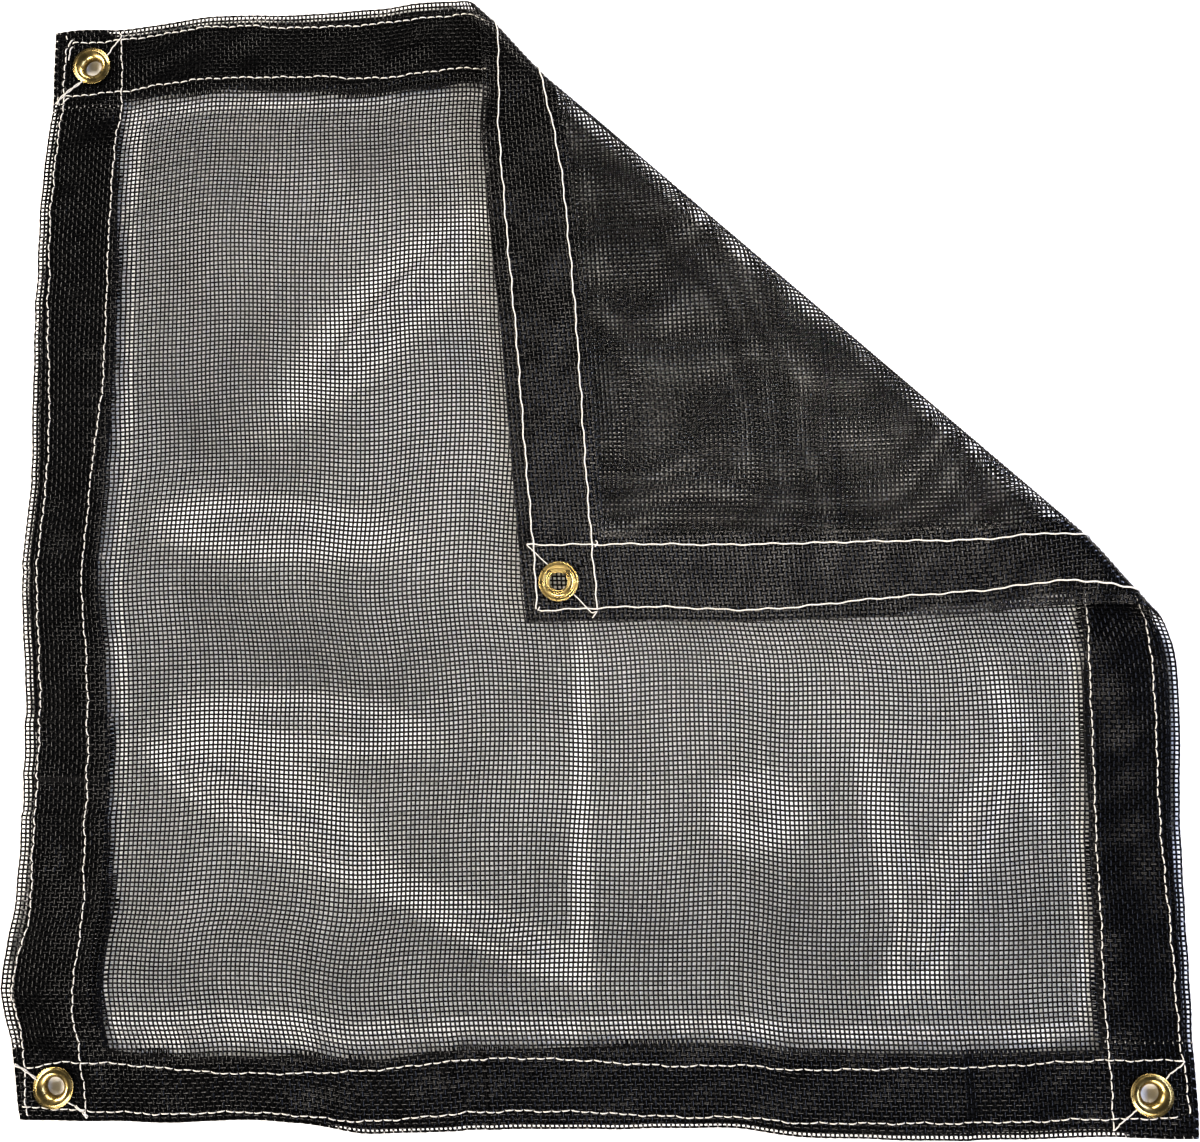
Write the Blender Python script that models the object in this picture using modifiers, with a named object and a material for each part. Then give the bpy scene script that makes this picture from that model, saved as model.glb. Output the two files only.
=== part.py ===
"""A small black mesh tarp with a webbed hem and four brass grommets.

It lies on a floor with its top right corner folded over towards the middle. Every piece of
cloth is cut flat, as its maker cuts it, and one function then lays it in its lying shape.
Lengths are in millimetres until a vertex is written, which is in metres. In the flat cloth
u runs to the right, v runs upwards and w is the height above the cloth's underside.
"""

import math

import bmesh
import bpy
import numpy as np

MM = 0.001

# Flat cloth
SIDE = 610.0  # hemmed square
HEM_DEPTH = 46.0
HEM_THICKNESS = 2.4  # two layers of mesh over a webbing
MESH_THICKNESS = 1.0
GAP = 0.3  # air left between two pieces
HEM_CELLS = 3
PANEL_CELLS = 32

# Where the four corners of the cloth lie before the fold
CORNERS = {
    "bottom_left": (-299.2, -307.4),
    "bottom_right": (312.4, -309.0),
    "top_left": (-309.2, 297.6),
    "top_right": (287.7, 309.1),
}

# The two corners that each side joins, and the side's outward bow (station, bow)
SIDES = {
    "bottom": ("bottom_left", "bottom_right", -1.0),
    "top": ("top_left", "top_right", 1.0),
    "left": ("bottom_left", "top_left", 1.0),
    "right": ("bottom_right", "top_right", -1.0),
}
BOWS = {
    "bottom": (
        (0, 0.0), (83, 0.3), (116, -1.5), (148, -0.5), (186, 4.6), (212, 3.4), (245, 1.4),
        (306, 0.1), (375, -1.4), (412, 2.8), (460, 3.2), (518, 2.0), (566, -0.3), (610, 0.0),
    ),
    "top": (
        (0, 0.0), (37, 0.3), (74, 4.7), (100, 6.6), (146, 5.6), (191, 6.6), (215, 9.6),
        (243, 10.4), (265, 7.5), (314, 4.1), (385, 3.8), (453, 2.1), (522, 1.8), (610, 0.0),
    ),
    "left": (
        (0, 0.0), (36, 5.7), (55, 11.0), (71, 13.3), (92, 11.2), (110, 7.7), (141, 5.7),
        (190, 4.4), (222, 5.2), (250, 7.0), (285, 9.6), (325, 7.4), (355, 5.6), (412, 7.0),
        (480, 6.4), (538, 3.7), (572, -0.3), (610, 0.0),
    ),
    "right": (
        (0, 0.0), (80, 2.4), (142, 4.2), (235, 10.4), (283, 3.2), (341, 8.1), (370, 10.4),
        (413, 9.3), (491, 7.0), (550, 3.0), (610, 0.0),
    ),
}

# The fold: a roll that starts on a slanting line, and the flap that lies back from it
FOLD_ANGLE = math.radians(-42.14)  # direction of the line
ROLL_RADIUS = 7.0
ROLL_START = 172.4  # distance of the line from the middle of the tarp
FOLD_BOW = (  # along the line, shift outwards
    (-260, 5.8), (-235, 4.2), (-212, 1.6), (-190, -0.3), (-153, 0.0),
    (193, 0.0), (232, -4.5), (251, -6.4), (265, -6.4),
)
FLAP_REST = 4.0  # height of the upper face of the flap, far from the fold
FLAP_SETTLE = 28.0  # how fast the flap comes down behind the roll
FLAP_DIP = 1.2  # the mesh in the flap sags this far below its hem
DIP_REACH = 50.0
ROLL_STEPS = 9
SETTLE_LINES = (10.0, 24.0, 42.0, 66.0, 100.0)  # extra folds where the flap comes down

# Soft waves in the lying mesh: place, direction, half length, half width, height
WAVES = (
    {"x": -109, "y": 135, "turn": 47, "length": 48, "width": 14, "height": 2.2},
    {"x": -180, "y": -146, "turn": -28, "length": 72, "width": 14, "height": 1.8},
    {"x": -42, "y": -213, "turn": -26, "length": 40, "width": 14, "height": 1.6},
    {"x": -146, "y": -100, "turn": -7, "length": 45, "width": 16, "height": 1.6},
    {"x": 190, "y": -184, "turn": 63, "length": 65, "width": 15, "height": 2.2},
    {"x": 91, "y": -146, "turn": 0, "length": 22, "width": 18, "height": 1.2},
    {"x": -177, "y": 7, "turn": -5, "length": 60, "width": 16, "height": 1.4},
    {"x": 235, "y": -123, "turn": -71, "length": 44, "width": 14, "height": 1.4},
)
WAVE_REACH = 60.0  # the waves fade out this close to the hem and to the fold

# Grommets: the corner that each is set in, its inset from both edges there
GROMMETS = {
    "tl": ("top_left", 23.0, 22.4),
    "bl": ("bottom_left", 20.3, 17.1),
    "br": ("bottom_right", 22.9, 21.3),
    "flap": ("top_right", 22.2, 19.6),
}
HOLE_RADIUS = 7.8  # hole punched in the hem, loose round the barrel
CORNER_LIFT = 1.4  # the hem rides up this far over the washer
LIFT_REACH = 36.0
TURN_STEPS = 24

# Turned profiles, radius and height above the hem's underside, down the outer side first
BODY_PROFILE = (
    (8.8, 3.9), (9.5, 3.6), (9.95, 3.2), (10.2, 3.05), (10.4, 3.2), (10.7, 3.35), (10.95, 3.15),
    (10.9, 2.8), (10.3, 2.7), (7.0, 2.7), (6.5, 2.2), (5.9, 1.4), (5.35, 0.2), (5.35, -0.7),
    (5.9, -0.95), (6.6, -0.95), (6.9, -1.1), (6.5, -1.35), (5.7, -1.4), (5.0, -1.15),
    (4.8, -0.7), (5.0, 0.1), (5.4, 1.0), (6.0, 2.0), (6.7, 2.9), (7.4, 3.4), (8.1, 3.8),
)
WASHER_PROFILE = (
    (10.5, -0.3), (10.95, -0.5), (10.9, -0.85), (10.5, -1.0), (10.1, -0.9), (9.5, -1.1),
    (8.7, -1.25), (8.0, -1.15), (7.6, -0.8), (7.2, -0.65), (5.7, -0.6), (5.7, -0.3),
)


def eased(rows, x):
    """Values of a short table of (station, value) rows, on a curve that never overshoots them."""
    stations, values = np.array(rows, float).T
    rises = np.diff(values) / np.diff(stations)
    before, after = rises[:-1], rises[1:]
    turning = before * after <= 0
    together = np.where(turning, 1.0, before + after)
    inner = np.where(turning, 0.0, 2 * before * after / together)
    slopes = np.concatenate([rises[:1], inner, rises[-1:]])
    x = np.clip(x, stations[0], stations[-1])
    i = np.clip(np.searchsorted(stations, x, side="right") - 1, 0, len(stations) - 2)
    span = stations[i + 1] - stations[i]
    f = (x - stations[i]) / span
    return (
        values[i] * (1 + 2 * f) * (1 - f) ** 2
        + values[i + 1] * (3 - 2 * f) * f**2
        + slopes[i] * span * f * (1 - f) ** 2
        - slopes[i + 1] * span * f**2 * (1 - f)
    )


def step(f):
    """0 below 0, 1 above 1, and smooth between them."""
    f = np.clip(f, 0.0, 1.0)
    return f * f * (3 - 2 * f)


def side_point(side, station):
    """Point of one side of the cloth at a distance along it, with the side's bow."""
    start, end, outward = SIDES[side]
    start, end = np.array(CORNERS[start]), np.array(CORNERS[end])
    along = (end - start) / np.linalg.norm(end - start)
    across = outward * np.array((-along[1], along[0]))
    share = (np.asarray(station) / SIDE)[..., None]
    return start + share * (end - start) + eased(BOWS[side], station)[..., None] * across


def spread(u, v):
    """Place on the floor of a point of the cloth, before the fold: a patch between its sides."""
    a, b = (u / SIDE)[..., None], (v / SIDE)[..., None]
    corner = {name: np.array(place) for name, place in CORNERS.items()}
    low = (1 - a) * corner["bottom_left"] + a * corner["bottom_right"]
    high = (1 - a) * corner["top_left"] + a * corner["top_right"]
    rows = (1 - b) * side_point("bottom", u) + b * side_point("top", u)
    columns = (1 - a) * side_point("left", v) + a * side_point("right", v)
    return rows + columns - (1 - b) * low - b * high


def to_fold(u, v):
    """Distance along the fold, and distance past the line where the roll starts."""
    place = spread(u, v)
    along = place @ (math.cos(FOLD_ANGLE), math.sin(FOLD_ANGLE))
    past = place @ (-math.sin(FOLD_ANGLE), math.cos(FOLD_ANGLE))
    return along, past - ROLL_START - eased(FOLD_BOW, along)


def grommet_place(name):
    """Flat position of a grommet."""
    corner, inset_u, inset_v = GROMMETS[name]
    u = inset_u if corner.endswith("left") else SIDE - inset_u
    v = inset_v if corner.startswith("bottom") else SIDE - inset_v
    return u, v


def lift(u, v):
    """How far the cloth rides up over the washers under it."""
    height = np.zeros_like(u)
    for name in GROMMETS:
        centre_u, centre_v = grommet_place(name)
        reach = np.hypot(u - centre_u, v - centre_v) / LIFT_REACH
        height = np.maximum(height, CORNER_LIFT * (1 - step(1.6 * reach - 0.6)))
    return height


def sag(u, v):
    """1 well inside the mesh and 0 at its hem."""
    inside = np.minimum(np.minimum(u, SIDE - u), np.minimum(v, SIDE - v)) - HEM_DEPTH
    return step(inside / DIP_REACH)


def wave_height(x, y):
    """Height of the soft waves in the part that lies on the floor."""
    height = np.zeros_like(x)
    for wave in WAVES:
        turn = math.radians(wave["turn"])
        dx, dy = x - wave["x"], y - wave["y"]
        along = (dx * math.cos(turn) + dy * math.sin(turn)) / wave["length"]
        across = (dy * math.cos(turn) - dx * math.sin(turn)) / wave["width"]
        height += wave["height"] * np.exp(-(along**2) - across**2)
    return height


def lay(along, past, w, up, loose):
    """Lying place of a point of the cloth, from its place about the fold."""
    turn = np.clip(past / ROLL_RADIUS, 0, math.pi)
    radius = ROLL_RADIUS - w
    back = np.maximum(past - math.pi * ROLL_RADIUS, 0)
    offset = np.minimum(past, 0) + radius * np.sin(turn) - back
    settle = 1 - (1 + back / FLAP_SETTLE) * np.exp(-back / FLAP_SETTLE)
    z = ROLL_RADIUS - radius * np.cos(turn) - settle * (2 * ROLL_RADIUS - FLAP_REST)
    z += np.where(past > 0, step(back / DIP_REACH) * (up - FLAP_DIP * loose), up)
    across = offset + ROLL_START + eased(FOLD_BOW, along)
    x = along * math.cos(FOLD_ANGLE) - across * math.sin(FOLD_ANGLE)
    y = along * math.sin(FOLD_ANGLE) + across * math.cos(FOLD_ANGLE)
    z += np.where(past < 0, wave_height(x, y) * loose * step(-past / WAVE_REACH), 0)
    return x, y, z


def collection(name):
    made = bpy.data.collections.new(name)
    bpy.context.scene.collection.children.link(made)
    return made


def material(name, colour, roughness, metallic=0.0):
    made = bpy.data.materials.new(name)
    made.use_nodes = True
    shader = made.node_tree.nodes["Principled BSDF"]
    shader.inputs["Base Color"].default_value = (*colour, 1.0)
    shader.inputs["Roughness"].default_value = roughness
    shader.inputs["Metallic"].default_value = metallic
    return made


def new_object(name, mesh, into, surface=None):
    made = bpy.data.objects.new(name, mesh)
    into.objects.link(made)
    if surface:
        mesh.materials.append(surface)
    return made


def evaluated_bmesh(obj):
    graph = bpy.context.evaluated_depsgraph_get()
    made = bmesh.new()
    made.from_mesh(obj.evaluated_get(graph).to_mesh())
    return made


def hole_cutter(name, cutters):
    """Cylinder that punches one grommet's hole through the flat hem."""
    u, v = grommet_place(name)
    bm = bmesh.new()
    bmesh.ops.create_cone(
        bm, cap_ends=True, segments=24, radius1=HOLE_RADIUS, radius2=HOLE_RADIUS, depth=20.0
    )
    mesh = bpy.data.meshes.new(f"punch_{name}")
    bm.to_mesh(mesh)
    bm.free()
    cutter = new_object(mesh.name, mesh, cutters)
    cutter.location = (u, v, 0.0)
    cutter.hide_render = True
    cutter.display_type = "WIRE"
    return cutter


def flat_sheet(name, stations_u, stations_v, thickness, holes, into):
    """Flat closed sheet on the given grid lines, with its grommet holes punched."""
    count_u, count_v = len(stations_u) - 1, len(stations_v) - 1
    bm = bmesh.new()
    bmesh.ops.create_grid(bm, x_segments=count_u, y_segments=count_v, size=1.0)
    for vert in bm.verts:
        vert.co.x = stations_u[round((vert.co.x + 1) / 2 * count_u)]
        vert.co.y = stations_v[round((vert.co.y + 1) / 2 * count_v)]
    mesh = bpy.data.meshes.new(name)
    bm.to_mesh(mesh)
    bm.free()
    sheet = new_object(name, mesh, into)
    solid = sheet.modifiers.new("thickness", "SOLIDIFY")
    solid.thickness = thickness
    solid.offset = 1.0
    for cutter in holes:
        punch = sheet.modifiers.new(cutter.name, "BOOLEAN")
        punch.operation = "DIFFERENCE"
        punch.solver = "EXACT"
        punch.object = cutter
    return sheet


def lay_sheet(sheet):
    """Folds a flat sheet: its faces are creased along the roll, then its points are laid."""
    bpy.context.view_layer.update()
    bm = evaluated_bmesh(sheet)
    up_layer = bm.verts.layers.float.new("up")
    loose_layer = bm.verts.layers.float.new("loose")
    flat = np.array([vert.co for vert in bm.verts])
    along, past = to_fold(flat[:, 0], flat[:, 1])
    up, loose = lift(flat[:, 0], flat[:, 1]), sag(flat[:, 0], flat[:, 1])
    for i, vert in enumerate(bm.verts):
        vert.co.x, vert.co.y = along[i], past[i]
        vert[up_layer], vert[loose_layer] = up[i], loose[i]
    half_turn = math.pi * ROLL_RADIUS
    creases = [half_turn * i / ROLL_STEPS for i in range(ROLL_STEPS + 1)]
    creases += [half_turn + distance for distance in SETTLE_LINES]
    for crease in creases:
        bmesh.ops.bisect_plane(
            bm, geom=bm.verts[:] + bm.edges[:] + bm.faces[:], dist=0.05,
            plane_co=(0, crease, 0), plane_no=(0, 1, 0),
        )
    bmesh.ops.triangulate(bm, faces=bm.faces[:])
    folded = np.array([(*vert.co, vert[up_layer], vert[loose_layer]) for vert in bm.verts])
    x, y, z = lay(*folded.T)
    for i, vert in enumerate(bm.verts):
        vert.co = (x[i] * MM, y[i] * MM, z[i] * MM)
    bmesh.ops.recalc_face_normals(bm, faces=bm.faces[:])
    sheet.modifiers.clear()
    bm.to_mesh(sheet.data)
    bm.free()
    sheet.data.shade_smooth()
    sheet.data.set_sharp_from_angle(angle=math.radians(50))


def turned(name, profile, surface, into):
    """Ring turned from a closed profile by a Screw modifier."""
    bm = bmesh.new()
    rim = [bm.verts.new((radius * MM, 0, height * MM)) for radius, height in profile]
    for i, vert in enumerate(rim):
        bm.edges.new((vert, rim[(i + 1) % len(rim)]))
    mesh = bpy.data.meshes.new(name)
    bm.to_mesh(mesh)
    bm.free()
    ring = new_object(name, mesh, into, surface)
    turn = ring.modifiers.new("turn", "SCREW")
    turn.steps = TURN_STEPS
    turn.render_steps = TURN_STEPS
    turn.use_merge_vertices = True
    turn.merge_threshold = 0.00001
    turn.use_normal_calculate = False
    turn.use_smooth_shade = True
    return ring


def seat(ring, name):
    """Stands a turned ring in its hole, face down where the cloth is folded over."""
    u, v = (np.array([value]) for value in grommet_place(name))
    along, past = to_fold(u, v)
    x, y, z = lay(along, past, np.zeros(1), lift(u, v), sag(u, v))
    ring.location = (x[0] * MM, y[0] * MM, z[0] * MM)
    if past[0] > 0:
        ring.rotation_euler = (math.pi, 0, 0)


def build():
    for obj in list(bpy.data.objects):
        bpy.data.objects.remove(obj)
    tarp = collection("mesh_tarp")
    cutters = collection("cutters")
    net = material("coated_polyester_mesh", (0.014, 0.014, 0.016), 0.45)
    band = material("webbed_hem", (0.008, 0.008, 0.009), 0.55)
    brass = material("brass", (0.62, 0.43, 0.14), 0.25, 1.0)

    seam = HEM_DEPTH + GAP / 2
    hem_lines = list(np.linspace(0, HEM_DEPTH, HEM_CELLS + 1))
    inner_lines = list(np.linspace(seam, SIDE - seam, PANEL_CELLS + 1))
    panel_lines = [HEM_DEPTH + GAP, *inner_lines[1:-1], SIDE - HEM_DEPTH - GAP]
    far_lines = [SIDE - line for line in reversed(hem_lines)]
    long_lines = hem_lines[:-1] + inner_lines + far_lines[1:]
    punches = {name: hole_cutter(name, cutters) for name in GROMMETS}

    sheets = {
        "mesh_panel": (panel_lines, panel_lines, MESH_THICKNESS, (), net),
        "hem_bottom": (long_lines, hem_lines, HEM_THICKNESS, ("bl", "br"), band),
        "hem_top": (long_lines, far_lines, HEM_THICKNESS, ("tl", "flap"), band),
        "hem_left": (hem_lines, panel_lines, HEM_THICKNESS, (), band),
        "hem_right": (far_lines, panel_lines, HEM_THICKNESS, (), band),
    }
    for name, (lines_u, lines_v, thickness, holes, surface) in sheets.items():
        sheet = flat_sheet(
            name, lines_u, lines_v, thickness, [punches[hole] for hole in holes], tarp
        )
        lay_sheet(sheet)
        sheet.data.materials.append(surface)

    for name in GROMMETS:
        seat(turned(f"grommet_{name}", BODY_PROFILE, brass, tarp), name)
        seat(turned(f"washer_{name}", WASHER_PROFILE, brass, tarp), name)


build()
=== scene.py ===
import math

import bmesh
import bpy
import numpy as np
from mathutils import Matrix, Vector


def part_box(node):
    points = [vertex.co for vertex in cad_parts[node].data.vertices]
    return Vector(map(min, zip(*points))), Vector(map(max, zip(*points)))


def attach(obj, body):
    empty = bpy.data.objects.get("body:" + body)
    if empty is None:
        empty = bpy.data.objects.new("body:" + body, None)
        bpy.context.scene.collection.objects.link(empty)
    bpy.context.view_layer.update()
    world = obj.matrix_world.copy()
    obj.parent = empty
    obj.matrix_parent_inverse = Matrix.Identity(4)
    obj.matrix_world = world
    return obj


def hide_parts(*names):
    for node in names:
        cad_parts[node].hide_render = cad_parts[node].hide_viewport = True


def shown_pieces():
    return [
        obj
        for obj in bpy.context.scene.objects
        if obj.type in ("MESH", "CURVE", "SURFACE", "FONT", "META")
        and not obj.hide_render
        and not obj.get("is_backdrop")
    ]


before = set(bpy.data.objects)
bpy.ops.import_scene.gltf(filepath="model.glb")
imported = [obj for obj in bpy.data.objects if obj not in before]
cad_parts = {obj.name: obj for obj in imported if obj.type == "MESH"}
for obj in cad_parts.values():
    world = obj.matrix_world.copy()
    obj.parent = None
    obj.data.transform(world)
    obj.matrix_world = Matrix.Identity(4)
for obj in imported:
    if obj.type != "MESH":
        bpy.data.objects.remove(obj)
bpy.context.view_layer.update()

# The cloth is worked out flat, in millimetres: u runs right, v runs up and w is the height above
# the underside. laid() then folds it down onto the floor, in metres.
mm = 0.001

cloth = {
    "side": 610.0,
    "yarnsPerSide": 254,
    "edgeYarn": 0.5,  # the first yarn lies this far inside the folded edge
    "hemDepth": 46.0,
    "settleReach": 50.0,  # the mesh is fully loose this far inside its hem
    "firmReach": 0.125,  # looseness at which nothing of the hem's relief is left
    "meshMiddle": 0.5,  # height of the middle of the single mesh
}
side = cloth["side"]
pitch = (side - 2 * cloth["edgeYarn"]) / (cloth["yarnsPerSide"] - 1)

# Where the corners of the cloth lie before one of them is folded over
corners = {
    "bottomLeft": (-299.2, -307.4),
    "bottomRight": (312.4, -309.0),
    "topLeft": (-309.2, 297.6),
    "topRight": (287.7, 309.1),
}

# Each side of the cloth: its two corners, which way its bow is positive, and where it lies flat
sides = {
    "bottom": {
        "ends": ("bottomLeft", "bottomRight"), "outward": -1,
        "start": (0, 0), "along": (1, 0), "inward": (0, 1),
    },
    "top": {
        "ends": ("topLeft", "topRight"), "outward": 1,
        "start": (0, side), "along": (1, 0), "inward": (0, -1),
    },
    "left": {
        "ends": ("bottomLeft", "topLeft"), "outward": 1,
        "start": (0, 0), "along": (0, 1), "inward": (1, 0),
    },
    "right": {
        "ends": ("bottomRight", "topRight"), "outward": -1,
        "start": (side, 0), "along": (0, 1), "inward": (-1, 0),
    },
}

# How far each side bows outwards (station, bow)
bows = {
    "bottom": (
        (0, 0.0), (83, 0.3), (116, -1.5), (148, -0.5), (186, 4.6), (212, 3.4), (245, 1.4),
        (306, 0.1), (375, -1.4), (412, 2.8), (460, 3.2), (518, 2.0), (566, -0.3), (610, 0.0),
    ),
    "top": (
        (0, 0.0), (37, 0.3), (74, 4.7), (100, 6.6), (146, 5.6), (191, 6.6), (215, 9.6),
        (243, 10.4), (265, 7.5), (314, 4.1), (385, 3.8), (453, 2.1), (522, 1.8), (610, 0.0),
    ),
    "left": (
        (0, 0.0), (36, 5.7), (55, 11.0), (71, 13.3), (92, 11.2), (110, 7.7), (141, 5.7),
        (190, 4.4), (222, 5.2), (250, 7.0), (285, 9.6), (325, 7.4), (355, 5.6), (412, 7.0),
        (480, 6.4), (538, 3.7), (572, -0.3), (610, 0.0),
    ),
    "right": (
        (0, 0.0), (80, 2.4), (142, 4.2), (235, 10.4), (283, 3.2), (341, 8.1), (370, 10.4),
        (413, 9.3), (491, 7.0), (550, 3.0), (610, 0.0),
    ),
}

# The folded corner: a roll on a slanting line, then the flap that lies back from it
fold = {
    "angle": math.radians(-42.14),
    "rollRadius": 7.0,
    "rollStart": 172.4,
    "flapRest": 4.0,  # height that the flap settles to
    "flapSettle": 28.0,
    "flapDip": 1.2,  # its mesh sinks this far below its hem
    "bow": (
        (-260, 5.8), (-235, 4.2), (-212, 1.6), (-190, -0.3), (-153, 0.0),
        (193, 0.0), (232, -4.5), (251, -6.4), (265, -6.4),
    ),
}

# Soft waves and narrower ridges in the mesh that lies on the floor: where the middle of each lies,
# the way that it runs in degrees, how far out along and across a third of its height is left, and
# that height
waves = (
    {"x": -109, "y": 135, "turn": 47, "length": 48, "width": 6.5, "height": 2.2},
    {"x": -117, "y": 128, "turn": 47, "length": 60, "width": 19, "height": 0.9},
    {"x": -180, "y": -146, "turn": -28, "length": 72, "width": 7, "height": 1.7},
    {"x": -174, "y": -136, "turn": -33, "length": 60, "width": 20, "height": 0.8},
    {"x": -42, "y": -213, "turn": -26, "length": 40, "width": 8, "height": 1.6},
    {"x": -146, "y": -100, "turn": -7, "length": 45, "width": 11, "height": 1.5},
    {"x": 190, "y": -184, "turn": 63, "length": 65, "width": 9, "height": 2.1},
    {"x": 167, "y": -183, "turn": -74, "length": 61, "width": 8, "height": 1.1},
    {"x": 91, "y": -146, "turn": 0, "length": 20, "width": 16, "height": 1.1},
    {"x": -177, "y": 7, "turn": -5, "length": 60, "width": 13, "height": 1.2},
    {"x": -3, "y": -145, "turn": -90, "length": 95, "width": 5, "height": 0.8},
    {"x": 235, "y": -123, "turn": -71, "length": 44, "width": 7, "height": 1.2},
)
waveReach = 60.0  # the waves reach their full height this far from the roll

# Slow sideways drift of the yarns in the loose mesh, as waves that run in a direction in degrees
drifts = (
    {"wave": 176, "turn": 24, "size": 0.95, "phase": 0.6, "push": "u"},
    {"wave": 91, "turn": 71, "size": 0.5, "phase": 2.1, "push": "u"},
    {"wave": 58, "turn": -33, "size": 0.25, "phase": 4.0, "push": "u"},
    {"wave": 161, "turn": 98, "size": 0.9, "phase": 1.3, "push": "v"},
    {"wave": 84, "turn": 15, "size": 0.6, "phase": 3.4, "push": "v"},
    {"wave": 61, "turn": 52, "size": 0.25, "phase": 5.2, "push": "v"},
)

# Shallow swells that the two seams leave in the hems, and sharper creases across a hem: each
# climbs slowly and falls away steeply on its other side
swells = (
    {"wave": 34, "turn": 12, "size": 0.26, "phase": 0.7},
    {"wave": 21, "turn": -58, "size": 0.16, "phase": 2.9},
    {"wave": 27, "turn": 97, "size": 0.2, "phase": 4.4},
    {"wave": 49, "turn": 51, "size": 0.3, "phase": 1.6},
)
creaseEnd = 6.0  # a crease fades over this much of the mesh beside its hem
creases = (
    {"side": "left", "station": 295.3, "height": 1.6, "climb": 10.0, "fall": 0.9, "falls": -1},
    {"side": "left", "station": 211.7, "height": 1.3, "climb": 8.0, "fall": 0.9, "falls": 1},
    {"side": "left", "station": 180.1, "height": 1.1, "climb": 7.0, "fall": 0.9, "falls": -1},
    {"side": "left", "station": 159.3, "height": 1.2, "climb": 9.0, "fall": 0.9, "falls": 1},
    {"side": "left", "station": 67.0, "height": 1.0, "climb": 14.0, "fall": 5.0, "falls": 1},
    {"side": "left", "station": 350.0, "height": 1.1, "climb": 16.0, "fall": 6.0, "falls": -1},
    {"side": "left", "station": 387.0, "height": 0.9, "climb": 12.0, "fall": 4.0, "falls": 1},
    {"side": "left", "station": 447.0, "height": 0.9, "climb": 14.0, "fall": 6.0, "falls": 1},
    {"side": "bottom", "station": 232.0, "height": 1.3, "climb": 15.0, "fall": 4.0, "falls": 1},
    {"side": "bottom", "station": 249.0, "height": 0.8, "climb": 6.0, "fall": 2.0, "falls": -1},
    {"side": "bottom", "station": 494.0, "height": 1.0, "climb": 14.0, "fall": 5.0, "falls": 1},
)

# Each hem, by station: distance from the folded edge of both rows of stitches, of the raw inner
# edge and of the webbing's outer edge; and where each row of stitches starts and ends
hemRows = {
    "bottom": {
        "outer": (
            (5, 6.8), (70, 4.7), (148, 4.3), (186, 6.7), (245, 9.2), (285, 9.3), (357, 5.8),
            (396, 7.1), (470, 8.9), (566, 9.2), (605, 11.0),
        ),
        "inner": (
            (2, 26.0), (32, 30.4), (90, 26.8), (113, 23.9), (148, 25.2), (185, 31.7),
            (269, 35.5), (357, 31.2), (424, 34.2), (519, 36.5), (604, 38.7),
        ),
        "edge": ((48, 38.6), (110, 34.0), (147, 35.7), (234, 41.3), (461, 44.6), (558, 44.4)),
        "webbing": (
            (0, 0.7), (160, 0.7), (172, 2.2), (400, 2.2), (430, 3.4), (562, 4.0), (578, 0.7),
        ),
        "outerEnds": (2.4, 604.0),
        "innerEnds": (6.5, 604.5),
    },
    "top": {
        "outer": (
            (10, 8.1), (88, 7.1), (146, 8.7), (226, 9.8), (252, 8.4), (275, 10.7), (364, 9.6),
            (469, 8.3), (569, 8.0), (605, 6.2),
        ),
        "inner": (
            (10, 40.3), (59, 38.1), (147, 38.5), (212, 42.0), (254, 40.4), (294, 36.4),
            (333, 40.5), (372, 43.0), (472, 41.0), (606, 38.7),
        ),
        "edge": ((46, 45.0), (146, 48.4), (225, 52.8), (290, 45.0), (372, 49.0), (560, 47.0)),
        "webbing": ((0, 0.7), (28, 0.7), (42, 5.6), (150, 6.2), (260, 6.0), (330, 3.0), (400, 0.7)),
        "outerEnds": (11.0, 604.0),
        "innerEnds": (7.0, 604.7),
    },
    "left": {
        "outer": (
            (15, 4.8), (50, 7.4), (68, 6.4), (105, 9.9), (141, 8.0), (315, 9.5), (334, 9.1),
            (378, 10.2), (434, 8.6), (510, 6.9), (587, 6.7), (597, 7.5), (603, 10.6), (606, 13.2),
        ),
        "inner": (
            (5, 36.4), (45, 36.7), (85, 39.3), (140, 35.9), (334, 34.1), (379, 37.4),
            (399, 40.2), (458, 41.3), (530, 41.0), (600, 41.0),
        ),
        "edge": ((44, 52.5), (100, 56.0), (140, 51.0), (339, 44.4), (448, 48.8), (544, 43.6)),
        "webbing": (
            (0, 0.7), (34, 0.7), (44, 6.2), (100, 8.0), (175, 6.4), (208, 6.6), (222, 4.8),
            (430, 4.0), (480, 5.2), (556, 4.4), (566, 0.7),
        ),
        "outerEnds": (2.3, 605.0),
        "innerEnds": (1.5, 607.5),
    },
    "right": {
        "outer": (
            (15, 4.5), (61, 7.5), (104, 8.4), (143, 10.6), (228, 13.2), (267, 10.3), (284, 7.5),
            (325, 11.2), (365, 11.9), (412, 10.4), (491, 6.2), (544, 7.7), (603, 6.1),
        ),
        "inner": (
            (11, 42.8), (82, 43.0), (144, 43.6), (230, 45.7), (272, 38.6), (315, 32.9),
            (336, 36.7), (409, 39.8), (488, 41.4), (603, 42.9),
        ),
        "edge": ((47, 48.0), (144, 48.6), (221, 51.3), (290, 42.0), (410, 47.0), (560, 49.0)),
        "webbing": (
            (0, 0.7), (26, 0.8), (40, 4.0), (125, 4.2), (140, 6.2), (255, 6.2), (330, 5.0),
            (400, 4.4), (416, 0.7),
        ),
        "outerEnds": (12.8, 603.0),
        "innerEnds": (3.8, 605.5),
    },
}

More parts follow.
